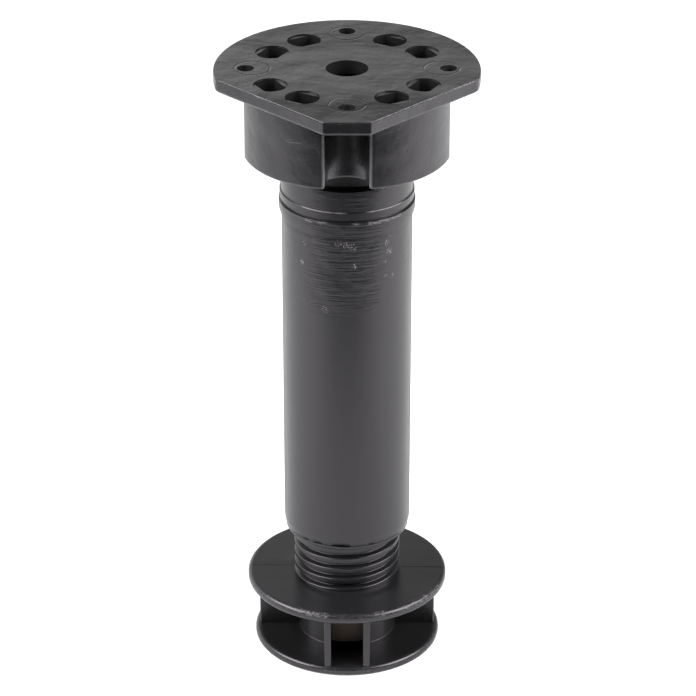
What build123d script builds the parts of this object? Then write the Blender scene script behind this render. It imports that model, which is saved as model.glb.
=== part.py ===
"""Height-adjustable furniture leg: mounting plate, tube, bush and screw foot.

Millimetres, +Z up. The origin is on the floor, on the leg's axis, under the foot.
The short straight edge of the mounting plate faces -Y.
"""
from build123d import *
import math
import os

os.makedirs("parts", exist_ok=True)

# Screw foot, from the floor up
base_disc_radius = 22.9
base_disc_thickness = 2.3
base_disc_edge_round = 0.9
disc_spacing = 13.45
grip_disc_radius = 24.65
grip_disc_thickness = 2.6
grip_disc_edge_round = 1.1
hub_radius = 12.0
hub_slit_height = 1.2
hub_slit_depth = 1.4
rib_reach = 21.8
rib_thickness = 1.75
rib_edge_round = 0.4
rib_pair_spacing = 9.5

# Stem of the foot, as wide as the crests of its thread
stem_length = 46.0
stem_wall = 3.75
stem_floor_thickness = 2.2
stem_end_chamfer = 1.0
exposed_stem = 13.0

# Bush in the mouth of the tube
bush_flange_thickness = 0.8
bush_flange_inset = 0.35
bush_length = 22.0
bush_wall = 0.87
bush_edge_chamfer = 0.3
stem_clearance = 0.08
bush_press_clearance = 0.02

# Tube
tube_radius = 15.4
tube_length = 95.1
tube_draft = 0.15
tube_wall = 2.05
tube_mouth_wall = 1.38
tube_end_inset = 0.3
tube_end_height = 1.25
spigot_inset = 1.0
spigot_wall = 2.0
spigot_chamfer = 0.6
socket_gap = 4.1

# Collar under the tube's shoulder: heights in order down from it, rises over the tube under them
upper_band_height = 5.2
upper_band_rise = 0.2
middle_band_height = 1.95
middle_band_rise = 0.47
collar_groove_width = 0.5
collar_groove_rise = 0.08
bead_rise = 0.67
bead_lip_height = 0.2
bead_flat_height = 1.8
bead_taper_height = 1.5
shoulder_round = 0.2

# Mounting plate
plate_radius = 31.2
plate_thickness = 3.4
plate_corner_distance = 6.75
plate_front_distance = 32.7
plate_front_width = 10.8
plate_corner_round = 3.0
plate_front_corner_round = 0.8
plate_lower_round = 0.9
plate_upper_chamfer = 0.15
centre_hole_radius = 5.0
screw_hole_radius = 2.0
screw_centre_distance = 23.65
dowel_hole_radius = 3.95
dowel_hole_flats = 5.4
dowel_centre_distance = 20.4
dowel_recess_depth = 0.3
dowel_recess_margin = 0.1
dowel_angle_from_screw = 30.0

# Socket drum under the plate
drum_step_at_sides = 1.85
drum_height = 17.1
drum_wall = 2.0
drum_lower_round = 0.8
drum_upper_round = 0.8
sleeve_wall = 2.68
sleeve_clearance = 0.02
channel_radius = 5.1
channel_wall = 1.5
channel_edge_round = 1.0
fastening_count = 4

# Heights worked out from the floor up
disc_underside = base_disc_thickness + disc_spacing
grip_disc_top = disc_underside + grip_disc_thickness
stem_top = grip_disc_top + stem_length
tube_mouth = grip_disc_top + exposed_stem
tube_bottom = tube_mouth + bush_flange_thickness
shoulder = tube_bottom + tube_length
drum_bottom = shoulder + socket_gap
plate_underside = drum_bottom + drum_height
plate_top = plate_underside + plate_thickness

# Radii worked out from the tube, each through the piece that it fits
bush_seat_radius = tube_radius - tube_mouth_wall
bush_radius = bush_seat_radius - bush_press_clearance
bush_bore_radius = bush_radius - bush_wall
bush_flange_radius = tube_radius - bush_flange_inset
stem_radius = bush_bore_radius - stem_clearance
stem_bore_radius = stem_radius - stem_wall
tube_bore_radius = tube_radius - tube_wall
spigot_radius = tube_radius - spigot_inset
spigot_bore_radius = spigot_radius - spigot_wall
sleeve_bore_radius = spigot_radius + sleeve_clearance
sleeve_radius = sleeve_bore_radius + sleeve_wall
channel_centre_distance = sleeve_radius + channel_radius

# The foot is one moulding: two discs on a hub, six ribs and the hollow stem.
with BuildPart() as adjusting_foot:
    with BuildSketch():
        Circle(base_disc_radius)
    extrude(amount=base_disc_thickness)
    fillet(adjusting_foot.edges().filter_by(GeomType.CIRCLE), base_disc_edge_round)
    with BuildSketch(Plane.XY.offset(disc_underside)):
        Circle(grip_disc_radius)
    extrude(amount=grip_disc_thickness)
    grip_edges = adjusting_foot.edges().filter_by(GeomType.CIRCLE)
    grip_edges = grip_edges.filter_by_position(Axis.Z, disc_underside, grip_disc_top)
    fillet(grip_edges, grip_disc_edge_round)
    with BuildSketch(Plane.XY.offset(base_disc_thickness)):
        Circle(hub_radius)
    extrude(amount=disc_spacing)
    with BuildSketch(Plane.XY.offset(grip_disc_top)):
        Circle(stem_radius)
    extrude(amount=stem_length)
    chamfer(adjusting_foot.edges().sort_by(Axis.Z)[-1], stem_end_chamfer)
    with BuildSketch(Plane.XY.offset(base_disc_thickness)) as rib_section:
        Rectangle(2 * rib_reach, rib_thickness)
        with Locations((-rib_pair_spacing / 2, 0), (rib_pair_spacing / 2, 0)):
            Rectangle(rib_thickness, 2 * rib_reach)
        fillet(rib_section.vertices().filter_by(lambda v: math.hypot(v.X, v.Y) > hub_radius),
               rib_edge_round)
    extrude(amount=disc_spacing)
    slit_width = rib_pair_spacing - rib_thickness
    with BuildSketch(Plane.XY.offset(base_disc_thickness)):
        with Locations((0, -hub_radius), (0, hub_radius)):
            Rectangle(slit_width, 2 * hub_slit_depth)
    extrude(amount=hub_slit_height, mode=Mode.SUBTRACT)
    with BuildSketch(Plane.XY.offset(base_disc_thickness + stem_floor_thickness)):
        Circle(stem_bore_radius)
    extrude(amount=stem_top - base_disc_thickness - stem_floor_thickness, mode=Mode.SUBTRACT)
adjusting_foot.part.label = "adjusting_foot"

# The bush is pressed up into the tube until its flange closes the tube's mouth.
with BuildPart() as thread_bush:
    with BuildSketch(Plane.XY.offset(tube_mouth)):
        Circle(bush_flange_radius)
    extrude(amount=bush_flange_thickness)
    chamfer(thread_bush.edges().sort_by(Axis.Z)[0], bush_edge_chamfer)
    with BuildSketch(Plane.XY.offset(tube_mouth)):
        Circle(bush_radius)
    extrude(amount=bush_length)
    with BuildSketch(Plane.XY.offset(tube_mouth)):
        Circle(bush_bore_radius)
    extrude(amount=bush_length, mode=Mode.SUBTRACT)
thread_bush.part.label = "thread_bush"

# Half section of the tube with its rolled collar and the spigot for the plate's sleeve.
upper_band_bottom = shoulder - upper_band_height
middle_band_bottom = upper_band_bottom - middle_band_height
bead_top = middle_band_bottom - collar_groove_width
bead_peak = bead_top - bead_lip_height
bead_flat_bottom = bead_peak - bead_flat_height
bead_bottom = bead_flat_bottom - bead_taper_height
tube_top_radius = tube_radius + tube_draft
upper_band_radius = tube_top_radius + upper_band_rise
middle_band_radius = tube_top_radius + middle_band_rise
groove_radius = tube_top_radius + collar_groove_rise
bead_radius = tube_top_radius + bead_rise
tube_end_radius = tube_radius - tube_end_inset
bush_seat_top = tube_mouth + bush_length + bush_press_clearance
with BuildPart() as leg_tube:
    with BuildSketch(Plane.XZ) as tube_section:
        with BuildLine():
            Line((bush_seat_radius, tube_bottom), (tube_end_radius, tube_bottom))
            TangentArc((tube_radius, tube_bottom + tube_end_height), (tube_end_radius, tube_bottom),
                       tangent=(0, -1))
            Line((tube_radius, tube_bottom + tube_end_height), (tube_top_radius, bead_bottom))
            TangentArc((bead_radius, bead_flat_bottom), (tube_top_radius, bead_bottom), tangent=(0, -1))
            Line((bead_radius, bead_flat_bottom), (bead_radius, bead_peak))
            Polyline((bead_radius, bead_peak), (groove_radius, bead_top),
                     (groove_radius, middle_band_bottom),
                     (middle_band_radius, middle_band_bottom), (middle_band_radius, upper_band_bottom),
                     (upper_band_radius, upper_band_bottom), (upper_band_radius, shoulder - shoulder_round),
                     (upper_band_radius - shoulder_round, shoulder), (spigot_radius, shoulder),
                     (spigot_radius, plate_underside - spigot_chamfer),
                     (spigot_radius - spigot_chamfer, plate_underside),
                     (spigot_bore_radius, plate_underside), (spigot_bore_radius, shoulder),
                     (tube_bore_radius, bead_bottom), (tube_bore_radius, bush_seat_top),
                     (bush_seat_radius, bush_seat_top), (bush_seat_radius, tube_bottom))
        make_face()
    revolve(axis=Axis.Z)
leg_tube.part.label = "leg_tube"

# The plate and its socket drum are one moulding, open from below.
front_x = plate_front_width / 2
corner_x = math.sqrt(plate_radius ** 2 - plate_corner_distance ** 2)
side_width = corner_x - front_x
side_depth = plate_front_distance - plate_corner_distance
side_area = corner_x * side_depth + plate_corner_distance * side_width
side_distance = side_area / math.hypot(side_width, side_depth)
drum_radius = side_distance - drum_step_at_sides
with BuildPart() as mounting_plate:
    with BuildSketch(Plane.XY.offset(plate_underside)) as plate_outline:
        with BuildLine():
            Polyline((-corner_x, -plate_corner_distance), (-front_x, -plate_front_distance),
                     (front_x, -plate_front_distance), (corner_x, -plate_corner_distance))
            ThreePointArc((corner_x, -plate_corner_distance), (0, plate_radius),
                          (-corner_x, -plate_corner_distance))
        make_face()
        outline_corners = plate_outline.vertices().sort_by(Axis.Y)
        fillet(outline_corners[:2], plate_front_corner_round)
        outline_corners = plate_outline.vertices().sort_by(Axis.Y)
        fillet(outline_corners[-2:], plate_corner_round)
    extrude(amount=plate_thickness)
    fillet(mounting_plate.faces().sort_by(Axis.Z)[0].edges(), plate_lower_round)
    chamfer(mounting_plate.faces().sort_by(Axis.Z)[-1].edges(), plate_upper_chamfer)
    with BuildSketch(Plane.XY.offset(drum_bottom)) as drum_outline:
        Circle(drum_radius)
        with PolarLocations(channel_centre_distance, fastening_count):
            Circle(channel_radius, mode=Mode.SUBTRACT)
        channel_corners = drum_outline.vertices()
        fillet(channel_corners, channel_edge_round)
    extrude(amount=drum_height)
    fillet(mounting_plate.faces().sort_by(Axis.Z)[0].edges(), drum_lower_round)
    junction = mounting_plate.edges().filter_by_position(Axis.Z, plate_underside, plate_underside)
    flange_flat_reach = side_distance - plate_lower_round
    junction = junction.filter_by(lambda e: math.hypot(e.center().X, e.center().Y) < flange_flat_reach)
    fillet(junction, drum_upper_round)
    with BuildSketch(Plane.XY.offset(drum_bottom)) as cavity:
        Circle(drum_radius - drum_wall)
        with PolarLocations(channel_centre_distance, fastening_count):
            Circle(channel_radius + channel_wall, mode=Mode.SUBTRACT)
        Circle(sleeve_radius, mode=Mode.SUBTRACT)
        Circle(sleeve_bore_radius)
    extrude(amount=drum_height, mode=Mode.SUBTRACT)
    with BuildSketch(Plane.XY.offset(plate_underside)):
        Circle(centre_hole_radius)
        with PolarLocations(screw_centre_distance, fastening_count):
            Circle(screw_hole_radius)
        for first_angle in (dowel_angle_from_screw, 360 / fastening_count - dowel_angle_from_screw):
            with PolarLocations(dowel_centre_distance, fastening_count, start_angle=first_angle) as dowels:
                with BuildSketch(mode=Mode.PRIVATE) as dowel_hole:
                    Circle(dowel_hole_radius)
                    Rectangle(dowel_hole_flats, 2 * dowel_hole_radius, mode=Mode.INTERSECT)
                add(dowel_hole.sketch)
    extrude(amount=plate_thickness, mode=Mode.SUBTRACT)
    with BuildSketch(Plane.XY.offset(plate_top - dowel_recess_depth)):
        for first_angle in (dowel_angle_from_screw, 360 / fastening_count - dowel_angle_from_screw):
            with PolarLocations(dowel_centre_distance, fastening_count, start_angle=first_angle):
                Circle(dowel_hole_radius + dowel_recess_margin)
    extrude(amount=dowel_recess_depth, mode=Mode.SUBTRACT)
mounting_plate.part.label = "mounting_plate"

export_step(adjusting_foot.part, "parts/adjusting_foot.step")
export_step(thread_bush.part, "parts/thread_bush.step")
export_step(leg_tube.part, "parts/leg_tube.step")
export_step(mounting_plate.part, "parts/mounting_plate.step")
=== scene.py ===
"""Black plastic furniture leg with a screw foot, standing on a pale studio floor.

Sizes are in millimetres until a mesh is made. The origin is on the floor under the foot, +Z is up,
and the short straight edge of the mounting plate faces -Y, towards the camera.
"""
import math
import bmesh
import bpy
from mathutils import Matrix, Vector


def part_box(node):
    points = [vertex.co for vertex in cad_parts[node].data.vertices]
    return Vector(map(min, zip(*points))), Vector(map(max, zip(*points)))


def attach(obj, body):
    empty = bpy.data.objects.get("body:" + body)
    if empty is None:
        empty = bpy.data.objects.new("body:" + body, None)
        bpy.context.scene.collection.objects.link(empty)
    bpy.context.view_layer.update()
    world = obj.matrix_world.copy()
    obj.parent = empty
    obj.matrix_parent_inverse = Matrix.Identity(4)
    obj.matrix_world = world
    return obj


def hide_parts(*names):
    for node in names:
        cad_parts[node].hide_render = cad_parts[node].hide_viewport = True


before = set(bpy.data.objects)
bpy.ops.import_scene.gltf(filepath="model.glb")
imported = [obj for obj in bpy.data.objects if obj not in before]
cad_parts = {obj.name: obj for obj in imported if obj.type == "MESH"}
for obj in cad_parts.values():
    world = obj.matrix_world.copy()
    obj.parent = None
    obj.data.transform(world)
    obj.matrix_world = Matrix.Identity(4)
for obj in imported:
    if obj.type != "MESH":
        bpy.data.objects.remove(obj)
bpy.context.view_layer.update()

MM = 0.001


def node_reach(node):
    """Largest X, lowest Z and highest Z of a CAD node, in millimetres."""
    low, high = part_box(node)
    return high.x / MM, low.z / MM, high.z / MM


drum_bottom, plate_top = node_reach("mounting_plate")[1:]
bead_radius, tube_bottom, spigot_top = node_reach("leg_tube")
bush_radius, bush_bottom, bush_top = node_reach("thread_bush")
grip_radius, foot_bottom, stem_top = node_reach("adjusting_foot")

# Foot, counted up from the floor
base_radius = 22.9
base_thickness = 2.3
base_round = 0.9
disc_spacing = 13.45
grip_thickness = 2.6
grip_round = 1.1
hub_radius = 12.0
hub_root_round = 0.2
hub_slit_height = 1.2
hub_slit_depth = 1.4
stem_bore = 9.3
stem_floor = 2.2
rib_reach = 21.8
rib_thickness = 1.75
rib_end_round = 0.4
rib_inner_end = 10.2
rib_pair_offset = 4.75
rib_seat = 0.3
grip_underside = foot_bottom + base_thickness + disc_spacing
grip_top = grip_underside + grip_thickness

# Thread of the foot, right-hand
thread_crest = 13.05
thread_root = 11.85
thread_pitch = 2.85
thread_crest_width = 1.3
thread_root_width = 2.2
thread_round = 0.26
thread_turn_at_disc = 80.0
thread_end_chamfer = 1.0
thread_sink = 0.8

# Bush and tube
bush_flange = 0.8
bush_body = 14.0
bush_bore = 13.13
bush_round = 0.28
bush_bore_round = 0.1
bush_top_round = 0.02
tube_radius = 15.4
tube_top_radius = 15.55
tube_end_height = 2.3
tube_bore = 13.35
bush_seat = 14.02
tube_mouth_round = 0.03
spigot_radius = 14.4
spigot_bore = 12.4
spigot_chamfer = 0.6
shoulder = drum_bottom - 4.1

# Collar of the tube, heights counted down from its shoulder
upper_band_height = 5.2
upper_band_rise = 0.2
middle_band_height = 1.95
middle_band_rise = 0.47
groove_width = 0.5
groove_rise = 0.08
bead_lip = 0.2
bead_flat = 1.5
bead_taper = 3.3
collar_round = 0.2
bead_round = 0.1
inner_round = 0.05

# Slits where the tube's cut end stands off the bush: first angle, last angle, height.
# Angles are counted from the front, positive to the right. A lower power gives a slit squarer ends.
slit_power = 0.35
mouth_slits = ((-44.0, -38.0, 0.28), (-33.0, -22.5, 0.34), (-14.6, 3.3, 0.5), (20.5, 26.0, 0.32))

# Marks on the plate: core rings round the screw holes, the scuffed edge of its right-hand side, a scratch
# on the drum, and a painted highlight on the lips of the front channel
CORE_RING_DISTANCE = 22.1
CORE_RING_RADIUS = 4.15
SIDE_NORMAL = (0.7194, 0.6947)
SIDE_DISTANCE = 26.6
SCRATCH_X = -12.3
SCRATCH_HEIGHT = 142.2
SCRATCH_SLOPE = 0.1
PAINTED_HIGHLIGHT_LIP_X = 5.25

# Marks on the tube: wear as (X of the middle, reach), scuffs as (place, reach)
BAND_EDGE_HEIGHT = 121.95
BAND_EDGE_WEAR = ((-6.9, 4.4), (-1.6, 1.7), (8.9, 4.9))
BEAD_SCUFF_HEIGHT = 119.1
BEAD_SCUFFS = ((-7.2, 3.2), (1.9, 1.2), (7.6, 3.4), (11.4, 1.6))
TUBE_SCUFFS = (((-2.0, -15.4, 113.9), 1.3), ((-0.2, -15.5, 113.6), 1.3), ((1.4, -15.4, 113.1), 1.2),
               ((1.6, -15.4, 108.0), 1.0), ((-10.6, -11.3, 107.4), 0.9), ((-10.0, -11.9, 112.7), 1.0),
               ((9.3, -12.4, 112.9), 1.0), ((9.9, -11.9, 110.5), 1.2), ((8.9, -12.7, 108.1), 0.7),
               ((9.1, -12.6, 104.4), 0.7), ((10.7, -11.2, 103.9), 0.7), ((-5.1, -14.6, 96.6), 1.2))
BEAD_TAPER_END = 114.4
BEAD_TAPER_START = 117.8
BEAD_TAPER_EASING = 0.68

# Marks on the foot's upper disc: the parting line, with its skew in degrees and the same skew as a slope,
# and nicks on the rim as (X of the middle, reach)
PARTING_SKEW = -1.48
PARTING_Y = -0.17
PARTING_SLOPE = 0.0258
PARTING_GROOVE_START = 13.5
PARTING_GROOVE_INNER = 0.09
PARTING_GROOVE_OUTER = 0.11
PARTING_GROOVE_DEPTH = 0.3
RIM_NICKS = ((-8.1, 4.4), (8.0, 1.6), (18.2, 5.5))

SEGMENTS = 288
THREAD_SEGMENTS = 120
BORE_SEGMENTS = 96
SWELL_STEPS = 16
MERGE_DISTANCE = 0.0005
SHARP_ANGLE = math.radians(32)


# Mesh tools

def rounded(corners, steps=5):
    """Corners are (x, y) or (x, y, round). Gives the outline with its rounds as short arcs."""
    points = []
    count = len(corners)
    for index, corner in enumerate(corners):
        here = Vector(corner[:2])
        radius = corner[2] if len(corner) > 2 else 0.0
        if radius == 0.0:
            points.append(here)
            continue
        back = (Vector(corners[index - 1][:2]) - here).normalized()
        ahead = (Vector(corners[(index + 1) % count][:2]) - here).normalized()
        half_angle = back.angle(ahead) / 2
        centre = here + (back + ahead).normalized() * (radius / math.sin(half_angle))
        start = here + back * (radius / math.tan(half_angle)) - centre
        end = here + ahead * (radius / math.tan(half_angle)) - centre
        turn = start.angle(end)
        for step in range(steps + 1):
            share = step / steps
            blend = start * math.sin((1 - share) * turn) + end * math.sin(share * turn)
            points.append(centre + blend / math.sin(turn))
    return points


def finish_mesh(name, mesh_data, body, slot, material, *nodes):
    """Turns a bmesh in millimetres into a piece that rides a body and stands for CAD nodes."""
    bmesh.ops.remove_doubles(mesh_data, verts=mesh_data.verts, dist=MERGE_DISTANCE)
    bmesh.ops.dissolve_degenerate(mesh_data, edges=mesh_data.edges, dist=MERGE_DISTANCE)
    bmesh.ops.recalc_face_normals(mesh_data, faces=mesh_data.faces)
    mesh = bpy.data.meshes.new(name)
    mesh_data.to_mesh(mesh)
    mesh_data.free()
    mesh.transform(Matrix.Scale(MM, 4))
    mesh.shade_smooth()
    mesh.set_sharp_from_angle(angle=SHARP_ANGLE)
    mesh.materials.append(material)
    piece = bpy.data.objects.new(name, mesh)
    bpy.context.scene.collection.objects.link(piece)
    weighted = piece.modifiers.new("even_shading", "WEIGHTED_NORMAL")
    weighted.keep_sharp = True
    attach(piece, body)
    for node in nodes:
        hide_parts(node)
    return piece


def skin_rings(mesh_data, rings, close_rings=True):
    """Joins rings of the same count of vertices with quads, the last ring back to the first."""
    count = len(rings[0])
    spans = len(rings) if close_rings else len(rings) - 1
    for row in range(spans):
        lower = rings[row]
        upper = rings[(row + 1) % len(rings)]
        for index in range(count):
            after = (index + 1) % count
            corners = (lower[index], lower[after], upper[after], upper[index])
            mesh_data.faces.new(corners)


def lathe(section, segments=SEGMENTS):
    """Turns a closed outline of (radius, height) points around Z."""
    mesh_data = bmesh.new()
    rings = []
    for radius, height in section:
        ring = []
        for index in range(segments):
            angle = 2 * math.pi * index / segments
            place = (radius * math.cos(angle), radius * math.sin(angle), height)
            ring.append(mesh_data.verts.new(place))
        rings.append(ring)
    skin_rings(mesh_data, rings)
    bmesh.ops.remove_doubles(mesh_data, verts=mesh_data.verts, dist=MERGE_DISTANCE)
    bmesh.ops.recalc_face_normals(mesh_data, faces=mesh_data.faces)
    return mesh_data


def prism(outline, low, high):
    """A flat outline of (x, y) points raised from one height to another."""
    mesh_data = bmesh.new()
    floor_ring = [mesh_data.verts.new((x, y, low)) for x, y in outline]
    roof_ring = [mesh_data.verts.new((x, y, high)) for x, y in outline]
    skin_rings(mesh_data, [floor_ring, roof_ring], close_rings=False)
    mesh_data.faces.new(floor_ring)
    mesh_data.faces.new(roof_ring)
    bmesh.ops.recalc_face_normals(mesh_data, faces=mesh_data.faces)
    return mesh_data


def combine(mesh_data, tool_data, operation):
    """Joins one solid with another, or cuts the other out of it."""
    objects = []
    for part in (mesh_data, tool_data):
        mesh = bpy.data.meshes.new("solid")
        part.to_mesh(mesh)
        part.free()
        solid = bpy.data.objects.new("solid", mesh)
        bpy.context.scene.collection.objects.link(solid)
        objects.append(solid)
    modifier = objects[0].modifiers.new("combine", "BOOLEAN")
    modifier.operation = operation
    modifier.solver = "EXACT"
    modifier.object = objects[1]
    bpy.context.view_layer.update()
    evaluated = objects[0].evaluated_get(bpy.context.evaluated_depsgraph_get())
    result = bmesh.new()
    result.from_mesh(evaluated.to_mesh())
    evaluated.to_mesh_clear()
    for solid in objects:
        mesh = solid.data
        bpy.data.objects.remove(solid)
        bpy.data.meshes.remove(mesh)
    return result


# Shader tools

class Wire:
    """An output socket that takes part in Python arithmetic, each step adding its Math node."""

    def __init__(self, tree, socket=None):
        self.tree = tree
        self.socket = socket

    def node(self, kind, settings=None, values=None, output=0):
        """Adds a node of a type: its settings first, then the values or wires of its sockets."""
        made = self.tree.nodes.new(kind)
        for name, setting in (settings or {}).items():
            setattr(made, name, setting)
        for name, value in (values or {}).items():
            if isinstance(value, Wire):
                self.tree.links.new(value.socket, made.inputs[name])
            else:
                made.inputs[name].default_value = value
        return Wire(self.tree, made.outputs[output])

    def math(self, operation, *values):
        return self.node("ShaderNodeMath", {"operation": operation}, dict(enumerate(values)))

    def __add__(self, other):
        return self.math("ADD", self, other)

    __radd__ = __add__

    def __sub__(self, other):
        return self.math("SUBTRACT", self, other)

    def __rsub__(self, other):
        return self.math("SUBTRACT", other, self)

    def __mul__(self, other):
        return self.math("MULTIPLY", self, other)

    def least(self, other):
        return self.math("MINIMUM", self, other)

    def most(self, other):
        return self.math("MAXIMUM", self, other)

    def size(self):
        return self.math("ABSOLUTE", self)

    def ease(self, start, end):
        """0 at start and before it, 1 at end and past it, with a soft change between."""
        values = {"Value": self, "From Min": start, "From Max": end}
        return self.node("ShaderNodeMapRange", {"interpolation_type": "SMOOTHSTEP"}, values)

    def part(self, name):
        """X, Y or Z of a vector."""
        return self.node("ShaderNodeSeparateXYZ", None, {"Vector": self}, name)

    def stretched(self, x, y, z):
        return self.node("ShaderNodeVectorMath", {"operation": "MULTIPLY"}, {0: self, 1: (x, y, z)})

    def away_from(self, x, y, z):
        """Distance of a position from a point."""
        values = {0: self, 1: (x, y, z)}
        return self.node("ShaderNodeVectorMath", {"operation": "DISTANCE"}, values, "Value")

    def noise(self, scale, detail=3.0, roughness=0.5):
        values = {"Vector": self, "Scale": scale, "Detail": detail, "Roughness": roughness}
        return self.node("ShaderNodeTexNoise", None, values, "Fac")


def new_plastic(name):
    """A material, the wire of its positions in millimetres and its Principled BSDF."""
    material = bpy.data.materials.new(name)
    material.use_nodes = True
    shader = material.node_tree.nodes["Principled BSDF"]
    wires = Wire(material.node_tree)
    place = wires.node("ShaderNodeTexCoord", None, None, "Object").stretched(1 / MM, 1 / MM, 1 / MM)
    return material, place, shader


def set_finish(shader, tone, roughness, height, warmth=0.0):
    """Feeds tone, roughness and relief, in millimetres, into a plastic's shader."""
    tree = tone.tree
    values = {"Red": tone * (1.03 + warmth), "Green": tone * 0.985, "Blue": tone * (1.06 - warmth)}
    colour = tone.node("ShaderNodeCombineColor", None, values)
    tree.links.new(colour.socket, shader.inputs["Base Color"])
    tree.links.new(roughness.socket, shader.inputs["Roughness"])
    relief = tone.node("ShaderNodeBump", None, {"Height": height, "Distance": MM})
    tree.links.new(relief.socket, shader.inputs["Normal"])
    shader.inputs["IOR"].default_value = 1.5
    shader.inputs["Specular Tint"].default_value = (1.0, 0.955, 1.02, 1)


PLASTIC_TONE = 0.0085
PLASTIC_ROUGHNESS = 0.3


def plate_plastic():
    """Moulded plate and drum: flow marks, mottling, core rings round the screw holes, a scuffed edge."""
    material, place, shader = new_plastic("satin_plate_plastic")
    x = place.part("X")
    y = place.part("Y")
    z = place.part("Z")
    on_top = z.ease(plate_top - 0.25, plate_top - 0.1)
    flat = place.stretched(1, 1, 0)
    from_ring = 50.0
    for aside, back in ((1, 0), (-1, 0), (0, 1), (0, -1)):
        distance = flat.away_from(aside * CORE_RING_DISTANCE, back * CORE_RING_DISTANCE, 0)
        from_ring = distance.least(from_ring)
    broken = place.noise(0.35, 2.0).ease(0.36, 0.56)
    ring = (from_ring - CORE_RING_RADIUS).size().ease(0.32, 0.02) * on_top
    inside = from_ring.ease(CORE_RING_RADIUS + 0.2, CORE_RING_RADIUS - 0.3) * on_top
    flow = place.noise(0.13, 2.0, 0.45)
    mottle = place.noise(0.9, 3.0, 0.65)
    grain = place.noise(2.4, 2.0)
    speck = place.noise(2.1, 1.0).ease(0.74, 0.8)
    edge_reach = x * SIDE_NORMAL[0] - y * SIDE_NORMAL[1]
    edge = edge_reach.ease(SIDE_DISTANCE - 0.4, SIDE_DISTANCE - 0.1)
    edge = edge * z.ease(plate_top - 0.4, plate_top - 0.1)
    scuff = edge * place.noise(1.3, 3.0, 0.7).ease(0.47, 0.6)
    along_scratch = x - SCRATCH_X
    scratch = (z - SCRATCH_HEIGHT - along_scratch * SCRATCH_SLOPE).size().ease(0.14, 0.02)
    scratch = scratch * along_scratch.size().ease(2.2, 1.2) * y.ease(-18.0, -20.0)
    # Painted highlight along the rounded lips of the front channel, lightening their colour
    lip_highlight = (x.size() - PAINTED_HIGHLIGHT_LIP_X).size().ease(0.95, 0.25)
    lip_highlight = lip_highlight * y.ease(-22.6, -23.6) * z.ease(plate_top - 3.6, plate_top - 4.2)
    tone = (0.8 + mottle * 0.4) * PLASTIC_TONE + speck * 0.02
    tone = tone + scuff * 0.1 + scratch * 0.03 + lip_highlight * 0.045
    roughness = PLASTIC_ROUGHNESS - 0.06 + mottle * 0.12 + scuff * 0.2
    dip = (y.ease(-14.0, -33.0) * -0.8 + y.ease(8.0, 31.0) * 0.45) * on_top
    height = dip + flow * 0.34 + mottle * 0.045 + grain * (0.02 - on_top * 0.012)
    height = height - ring * broken * 0.1 + inside * 0.03 - scratch * 0.03
    set_finish(shader, tone, roughness, height)
    return material


def tube_plastic():
    """Drawn tube: turning marks below its collar, worn edges, pale scuffs and a few loose specks."""
    material, place, shader = new_plastic("satin_tube_plastic")
    x = place.part("X")
    y = place.part("Y")
    z = place.part("Z")
    cloud = place.stretched(0.6, 0.6, 1.0).noise(0.08, 2.0)
    grain = place.noise(2.8, 2.0)
    fine_marks = place.stretched(0.04, 0.04, 1.0).noise(2.7, 1.0, 0.6)
    waves = place.stretched(0.07, 0.07, 1.0).noise(1.5, 2.0, 0.5)
    patch = place.noise(0.2, 2.0).ease(0.35, 0.6)
    below_collar = z.ease(90.0, 102.0) * z.ease(120.5, 118.8)
    at_front = y.ease(-10.5, -14.5) * 0.85 + 0.15
    at_side = x.size().ease(10.5, 13.5) * z.ease(98.0, 108.0) * 0.5
    on_band = z.ease(121.9, 122.3) * z.ease(128.4, 127.4) * 0.45
    marked = below_collar.most(on_band) * at_front.most(at_side) * (patch * 0.7 + 0.3)
    faint = z.ease(50.0, 118.0) * 0.12
    on_bead = (z - BEAD_SCUFF_HEIGHT).size().ease(0.5, 0.1)
    scuff = 0.0
    for middle, reach in BEAD_SCUFFS:
        scuff = (x - middle).size().ease(reach, reach * 0.5).most(scuff)
    on_band_edge = (z - BAND_EDGE_HEIGHT).size().ease(0.16, 0.05)
    wear = 0.0
    for middle, reach in BAND_EDGE_WEAR:
        wear = (x - middle).size().ease(reach, reach * 0.6).most(wear)
    wear = wear * on_band_edge * y.ease(-5.0, -8.0) * place.noise(0.5, 1.0).ease(0.26, 0.42)
    strokes = place.stretched(0.3, 0.3, 1.5).noise(2.2, 2.0, 0.7).ease(0.42, 0.64) * 0.75
    scuff = scuff * on_bead * y.ease(-6.0, -9.0) * strokes
    dots = 0.0
    for spot, reach in TUBE_SCUFFS:
        dots = place.away_from(*spot).ease(reach, reach * 0.3).most(dots)
    dots = dots * place.noise(3.4, 1.0).ease(0.54, 0.64)
    scuff = dots.most(scuff)
    speck = place.noise(1.5, 1.0).ease(0.76, 0.8) * below_collar
    tone = (0.85 + cloud * 0.3) * PLASTIC_TONE + scuff * 0.2 + speck * 0.08 + wear * 0.14
    roughness = PLASTIC_ROUGHNESS - 0.03 + cloud * 0.08 + scuff * 0.2
    height = (fine_marks * 0.12 + waves * 0.03) * (marked + faint) + grain * 0.004 + scuff * 0.012
    height = height - z.ease(BEAD_TAPER_END, BEAD_TAPER_START) * BEAD_TAPER_EASING
    set_finish(shader, tone, roughness, height)
    return material


def bush_plastic():
    """Moulded bush: plain, with a faint cloud."""
    material, place, shader = new_plastic("smooth_bush_plastic")
    cloud = place.noise(0.3, 2.0)
    tone = (0.85 + cloud * 0.3) * PLASTIC_TONE
    set_finish(shader, tone, PLASTIC_ROUGHNESS + cloud * 0.05, cloud * 0.02)
    return material


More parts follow.
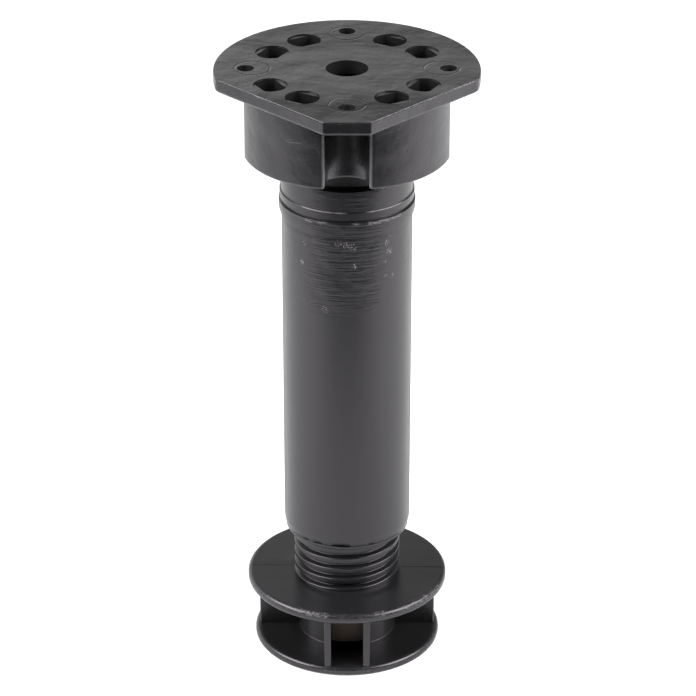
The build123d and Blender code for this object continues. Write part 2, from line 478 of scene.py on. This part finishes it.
def foot_plastic():
    """Moulded foot: parting line over the upper disc, nicked rims, and painted warm light on the hub
    between the front ribs.
    """
    material, place, shader = new_plastic("smooth_foot_plastic")
    x = place.part("X")
    y = place.part("Y")
    z = place.part("Z")
    cloud = place.noise(0.13, 3.0, 0.5)
    grain = place.noise(3.0, 2.0)
    outward = place.stretched(1, 1, 0).away_from(0, 0, 0)
    on_disc = z.ease(grip_underside, grip_underside + 1.0)
    on_disc = on_disc * outward.ease(thread_crest + 0.3, thread_crest + 1.0)
    parting = (y + x * PARTING_SLOPE - PARTING_Y).ease(-0.2, 0.2) * on_disc * x.ease(10.0, -10.0)
    nicked = 0.25
    for middle, reach in RIM_NICKS:
        nicked = (x - middle).size().ease(reach, reach * 0.7).most(nicked)
    rim = outward.ease(grip_radius - 1.3, grip_radius - 0.6) * y.ease(-4.0, -14.0) * nicked
    top_edge = z.ease(grip_top - 1.3, grip_top - 0.7)
    nick = rim * top_edge * place.noise(1.9, 2.0, 0.7).ease(0.5, 0.6)
    base_nick = outward.ease(base_radius - 1.2, base_radius - 0.5) * z.ease(3.5, 2.6)
    base_nick = base_nick * place.noise(1.5, 2.0).ease(0.6, 0.7)
    worn = nick.most(base_nick * 0.5)
    # Painted warm light on the hub between the front ribs: lighter and warmer there, and rougher
    painted_window_light = x.size().ease(4.2, 3.7) * y.ease(-8.0, -9.0) * y.ease(-12.6, -12.2) * z.ease(3.4, 3.6)
    painted_window_light = painted_window_light * z.ease(grip_underside, grip_underside - 0.4)
    tone = (0.85 + cloud * 0.3) * PLASTIC_TONE + worn * 0.08 + painted_window_light * 0.1
    roughness = PLASTIC_ROUGHNESS - 0.04 + cloud * 0.08 + worn * 0.15 + painted_window_light * 0.5
    height = cloud * 0.04 + grain * 0.004 + parting * 0.02 - nick * 0.04
    set_finish(shader, tone, roughness, height, painted_window_light * 0.28)
    return material


# Pieces

def falling_arc(outer, start, inner, end, steps=8):
    """Points of an arc that starts upright at the outer radius and draws in to the inner one."""
    inset = outer - inner
    depth = end - start
    bend = (inset ** 2 + depth ** 2) / (2 * inset)
    points = []
    for step in range(steps + 1):
        along = depth * step / steps
        points.append((outer - bend + math.sqrt(bend ** 2 - along ** 2), start + along))
    return points


def make_tube(material):
    """Tube with its drawn-in mouth, rolled collar and spigot."""
    upper_band_bottom = shoulder - upper_band_height
    middle_band_bottom = upper_band_bottom - middle_band_height
    bead_top = middle_band_bottom - groove_width
    bead_peak = bead_top - bead_lip
    bead_flat_bottom = bead_peak - bead_flat
    bead_bottom = bead_flat_bottom - bead_taper
    upper_band = tube_top_radius + upper_band_rise
    middle_band = tube_top_radius + middle_band_rise
    groove = tube_top_radius + groove_rise
    mouth_arc = falling_arc(tube_radius, tube_bottom + tube_end_height, bush_radius, tube_bottom)
    corners = [(bush_seat, tube_bottom), (bush_radius, tube_bottom, tube_mouth_round)]
    corners += mouth_arc[-2::-1]
    for step in range(SWELL_STEPS + 1):
        share = step / SWELL_STEPS
        swell = (1 - math.cos(math.pi * share)) / 2
        radius = tube_top_radius + swell * (bead_radius - tube_top_radius)
        corners.append((radius, bead_bottom + share * bead_taper))
    corners += [(bead_radius, bead_peak, bead_round), (groove, bead_top, inner_round),
                (groove, middle_band_bottom, inner_round),
                (middle_band, middle_band_bottom, collar_round),
                (middle_band, upper_band_bottom, collar_round),
                (upper_band, upper_band_bottom, inner_round), (upper_band, shoulder, collar_round),
                (spigot_radius, shoulder, inner_round), (spigot_radius, spigot_top - spigot_chamfer),
                (spigot_radius - spigot_chamfer, spigot_top), (spigot_bore, spigot_top),
                (spigot_bore, shoulder), (tube_bore, bead_bottom), (tube_bore, bush_top),
                (bush_seat, bush_top)]
    tube = lathe(rounded(corners))
    for vertex in tube.verts:
        up = (vertex.co.z - tube_bottom) / tube_end_height
        if up > 1:
            continue
        from_front = math.degrees(math.atan2(vertex.co.x, -vertex.co.y))
        for first, last, height in mouth_slits:
            if first < from_front < last:
                share = (from_front - first) / (last - first)
                vertex.co.z += height * (1 - up) * math.sin(math.pi * share) ** slit_power
    return finish_mesh("leg_tube_shell", tube, "leg", "tube_plastic", material, "leg_tube")


def make_bush(material):
    """Flanged bush in the mouth of the tube."""
    flange_top = bush_bottom + bush_flange
    corners = [(bush_bore, bush_bottom, bush_bore_round), (bush_radius, bush_bottom, bush_round),
               (bush_radius, flange_top, bush_top_round), (bush_body, flange_top),
               (bush_body, bush_top), (bush_bore, bush_top)]
    bush = lathe(rounded(corners))
    return finish_mesh("thread_bush_ring", bush, "leg", "bush_plastic", material, "thread_bush")


def stem_with_thread():
    """Hollow stem of the foot, its right-hand thread running down into the upper disc."""
    half_crest = thread_crest_width / 2
    half_root = thread_root_width / 2
    corners = [(thread_root, -thread_pitch / 2), (thread_root, -half_root, thread_round),
               (thread_crest, -half_crest, thread_round), (thread_crest, half_crest, thread_round),
               (thread_root, half_root, thread_round), (thread_root, thread_pitch / 2)]
    profile = rounded(corners, 3)[:-1]
    start = grip_top - thread_pitch * (0.5 + thread_turn_at_disc / 360)
    low = grip_top - thread_sink
    turns = math.ceil((stem_top - low) / thread_pitch) + 3
    stem = bmesh.new()
    columns = []
    for index in range(THREAD_SEGMENTS):
        share = index / THREAD_SEGMENTS
        angle = 2 * math.pi * share
        column = []
        for turn in range(-2, turns):
            for radius, offset in profile:
                height = start + thread_pitch * (turn + share) + offset
                if height >= stem_top:
                    height = stem_top
                    radius = thread_crest - thread_end_chamfer
                elif height <= low:
                    height = low
                    radius = thread_root
                else:
                    radius = min(radius, thread_crest - thread_end_chamfer + stem_top - height)
                place = (radius * math.cos(angle), radius * math.sin(angle), height)
                column.append(stem.verts.new(place))
        columns.append(column)
    rows = len(columns[0])
    per_turn = len(profile)
    for index in range(THREAD_SEGMENTS):
        here = columns[index]
        if index + 1 < THREAD_SEGMENTS:
            after = columns[index + 1]
            for row in range(rows - 1):
                stem.faces.new((here[row], after[row], after[row + 1], here[row + 1]))
        else:
            after = columns[0]
            for row in range(rows - 1 - per_turn):
                above = row + per_turn
                stem.faces.new((here[row], after[above], after[above + 1], here[row + 1]))
    bmesh.ops.remove_doubles(stem, verts=stem.verts, dist=MERGE_DISTANCE)
    bmesh.ops.dissolve_degenerate(stem, edges=stem.edges, dist=MERGE_DISTANCE)
    rims = [edge for edge in stem.edges if edge.is_boundary]
    bmesh.ops.holes_fill(stem, edges=rims, sides=0)
    bmesh.ops.recalc_face_normals(stem, faces=stem.faces)
    return stem


def make_foot(material):
    """Two discs on a hub, six ribs between them and the threaded stem, all one moulding."""
    base_top = foot_bottom + base_thickness
    axis_corners = [(0.0, foot_bottom), (base_radius, foot_bottom, base_round),
                    (base_radius, base_top, base_round), (hub_radius, base_top, hub_root_round),
                    (hub_radius, grip_underside, hub_root_round),
                    (grip_radius, grip_underside, grip_round), (grip_radius, grip_top, grip_round),
                    (0.0, grip_top)]
    foot = lathe(rounded(axis_corners, 6))
    rib_low = base_top - rib_seat
    rib_high = grip_underside + rib_seat
    half_rib = rib_thickness / 2
    side_rib = rounded([(rib_inner_end, -half_rib), (rib_reach, -half_rib, rib_end_round),
                        (rib_reach, half_rib, rib_end_round), (rib_inner_end, half_rib)])
    for turn, offset in ((0, 0), (180, 0), (90, rib_pair_offset), (90, -rib_pair_offset),
                         (270, rib_pair_offset), (270, -rib_pair_offset)):
        cosine = math.cos(math.radians(turn))
        sine = math.sin(math.radians(turn))
        outline = [(x * cosine - (y + offset) * sine, x * sine + (y + offset) * cosine)
                   for x, y in side_rib]
        foot = combine(foot, prism(outline, rib_low, rib_high), "UNION")
    foot = combine(foot, stem_with_thread(), "UNION")
    bore_bottom = base_top + stem_floor
    bore = lathe([(0.0, bore_bottom), (stem_bore, bore_bottom),
                  (stem_bore, stem_top + 1), (0.0, stem_top + 1)], BORE_SEGMENTS)
    foot = combine(foot, bore, "DIFFERENCE")
    half_slit = rib_pair_offset - half_rib
    for side in (-1, 1):
        near = side * (hub_radius - hub_slit_depth)
        far = side * (hub_radius + hub_slit_depth)
        outline = [(-half_slit, near), (half_slit, near), (half_slit, far), (-half_slit, far)]
        foot = combine(foot, prism(outline, base_top, base_top + hub_slit_height), "DIFFERENCE")
    outer_end = grip_radius + 1
    groove = [(PARTING_GROOVE_START, -PARTING_GROOVE_INNER), (outer_end, -PARTING_GROOVE_OUTER),
              (outer_end, PARTING_GROOVE_OUTER), (PARTING_GROOVE_START, PARTING_GROOVE_INNER)]
    cosine = math.cos(math.radians(PARTING_SKEW))
    sine = math.sin(math.radians(PARTING_SKEW))
    outline = [(x * cosine - y * sine, x * sine + y * cosine + PARTING_Y) for x, y in groove]
    foot = combine(foot, prism(outline, grip_top - PARTING_GROOVE_DEPTH, grip_top + 1), "DIFFERENCE")
    return finish_mesh("adjusting_foot_moulding", foot, "foot", "foot_plastic", material,
                       "adjusting_foot")


plate_finish = plate_plastic()

plate_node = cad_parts["mounting_plate"]
plate_node.data.materials.clear()
plate_node.data.materials.append(plate_finish)
plate_node.data.shade_smooth()
plate_node.data.set_sharp_from_angle(angle=SHARP_ANGLE)
plate_shading = plate_node.modifiers.new("even_shading", "WEIGHTED_NORMAL")
plate_shading.keep_sharp = True

make_tube(tube_plastic())
make_bush(bush_plastic())
make_foot(foot_plastic())


# Studio

def make_floor():
    """Pale floor, white to the camera and keeping the leg's shadow; to reflections its colour carries
    painted shade, darker in front, to the left, behind the leg and beside it.
    """
    size = 4.0
    mesh_data = bmesh.new()
    bmesh.ops.create_grid(mesh_data, x_segments=8, y_segments=8, size=size)
    mesh = bpy.data.meshes.new("studio_floor")
    mesh_data.to_mesh(mesh)
    mesh_data.free()
    floor = bpy.data.objects.new("studio_floor", mesh)
    bpy.context.scene.collection.objects.link(floor)
    floor.location.z = -0.00002
    material = bpy.data.materials.new("pale_floor")
    material.use_nodes = True
    tree = material.node_tree
    tree.nodes.clear()
    wires = Wire(tree)
    place = wires.node("ShaderNodeTexCoord", None, None, "Object")
    forward = place.part("Y")
    aside = place.part("X")
    # Painted shade in the colour that reflections see: a painted shadow behind the leg and painted shade
    # beside it
    painted_shadow_behind_leg = forward.ease(0.02, 0.08) * (aside.size() - forward * 0.27).ease(0.05, 0.01)
    painted_shade_by_the_leg = forward.ease(0.02, -0.06) * aside.size().ease(0.16, 0.04)
    # Painted shade darkening the floor towards the front and to the left
    shade = forward.ease(-0.29, -0.13) * (aside.ease(-0.42, -0.18) * 0.4 + 0.6)
    shade = shade * (1.0 - painted_shadow_behind_leg * 0.8 - painted_shade_by_the_leg * 0.2)
    shade = shade * 0.88 + 0.01
    colour = wires.node("ShaderNodeCombineColor", None, {"Red": shade, "Green": shade, "Blue": shade})
    painted_shade_floor = wires.node("ShaderNodeBsdfDiffuse", None, {"Color": colour})
    paper = wires.node("ShaderNodeBsdfDiffuse", None, {"Color": (0.5, 0.5, 0.5, 1)})
    glow = wires.node("ShaderNodeEmission", None, {"Color": (1, 1, 1, 1), "Strength": 0.62})
    seen = wires.node("ShaderNodeAddShader", None, {0: paper, 1: glow})
    direct = wires.node("ShaderNodeLightPath", None, None, "Is Camera Ray")
    surface = wires.node("ShaderNodeMixShader", None, {"Fac": direct, 1: painted_shade_floor, 2: seen})
    output = tree.nodes.new("ShaderNodeOutputMaterial")
    tree.links.new(surface.socket, output.inputs["Surface"])
    mesh.materials.append(material)


def make_world():
    """White paper behind and round the leg, and a dark room on the camera's side."""
    world = bpy.data.worlds.new("studio_room")
    world.use_nodes = True
    tree = world.node_tree
    tree.nodes.clear()
    wires = Wire(tree)
    heading = wires.node("ShaderNodeTexCoord", None, None, "Generated")
    behind = heading.part("Y").ease(-0.35, 0.25)
    paper_end = heading.part("Z").ease(0.40, 0.52)
    to_the_right = heading.part("X").ease(-0.16, 0.16)
    room = behind * (1.0 - paper_end * 0.9) * (1.45 - to_the_right * 0.95) + 0.01
    direct = wires.node("ShaderNodeLightPath", None, None, "Is Camera Ray")
    strength = room.most(direct)
    light = wires.node("ShaderNodeBackground", None, {"Color": (1, 1, 1, 1), "Strength": strength})
    output = tree.nodes.new("ShaderNodeOutputWorld")
    tree.links.new(light.socket, output.inputs["Surface"])
    bpy.context.scene.world = world


def make_softbox(name, place, aim, width, height, radiance):
    """A square lamp that faces a point. Its power comes from the brightness of its cloth."""
    lamp = bpy.data.lights.new(name, "AREA")
    lamp.shape = "RECTANGLE"
    lamp.size = width
    lamp.size_y = height
    lamp.energy = radiance * math.pi * width * height
    box = bpy.data.objects.new(name, lamp)
    bpy.context.scene.collection.objects.link(box)
    box.location = place
    box.rotation_euler = (Vector(aim) - Vector(place)).to_track_quat("-Z", "Y").to_euler()
    box.visible_camera = False


make_floor()
make_world()
leg_middle = (0.0, 0.0, 0.08)
softbox_width = 0.8
softbox_height = 0.6
softbox_radiance = 12.0
for name, aside in (("softbox_left", -0.72), ("softbox_right", 0.72)):
    place = (aside, -0.22, 0.62)
    make_softbox(name, place, leg_middle, softbox_width, softbox_height, softbox_radiance)

# Camera fitted to the photograph
sensor_width = 36.0
frame_pixels = 696
focal_pixels = 3494.5
axis_left_of_middle = 0.98
camera_drop = math.radians(26.522)
camera_data = bpy.data.cameras.new("photo_camera")
camera_data.sensor_width = sensor_width
camera_data.lens = sensor_width * focal_pixels / frame_pixels
camera_data.shift_x = axis_left_of_middle / frame_pixels
camera_data.clip_end = 20.0
camera = bpy.data.objects.new("photo_camera", camera_data)
camera.location = (0.0, -0.757, 0.45685)
camera.rotation_euler = (math.pi / 2 - camera_drop, 0.0, 0.0)
bpy.context.scene.collection.objects.link(camera)
bpy.context.scene.camera = camera

bpy.context.scene.view_settings.view_transform = "Standard"
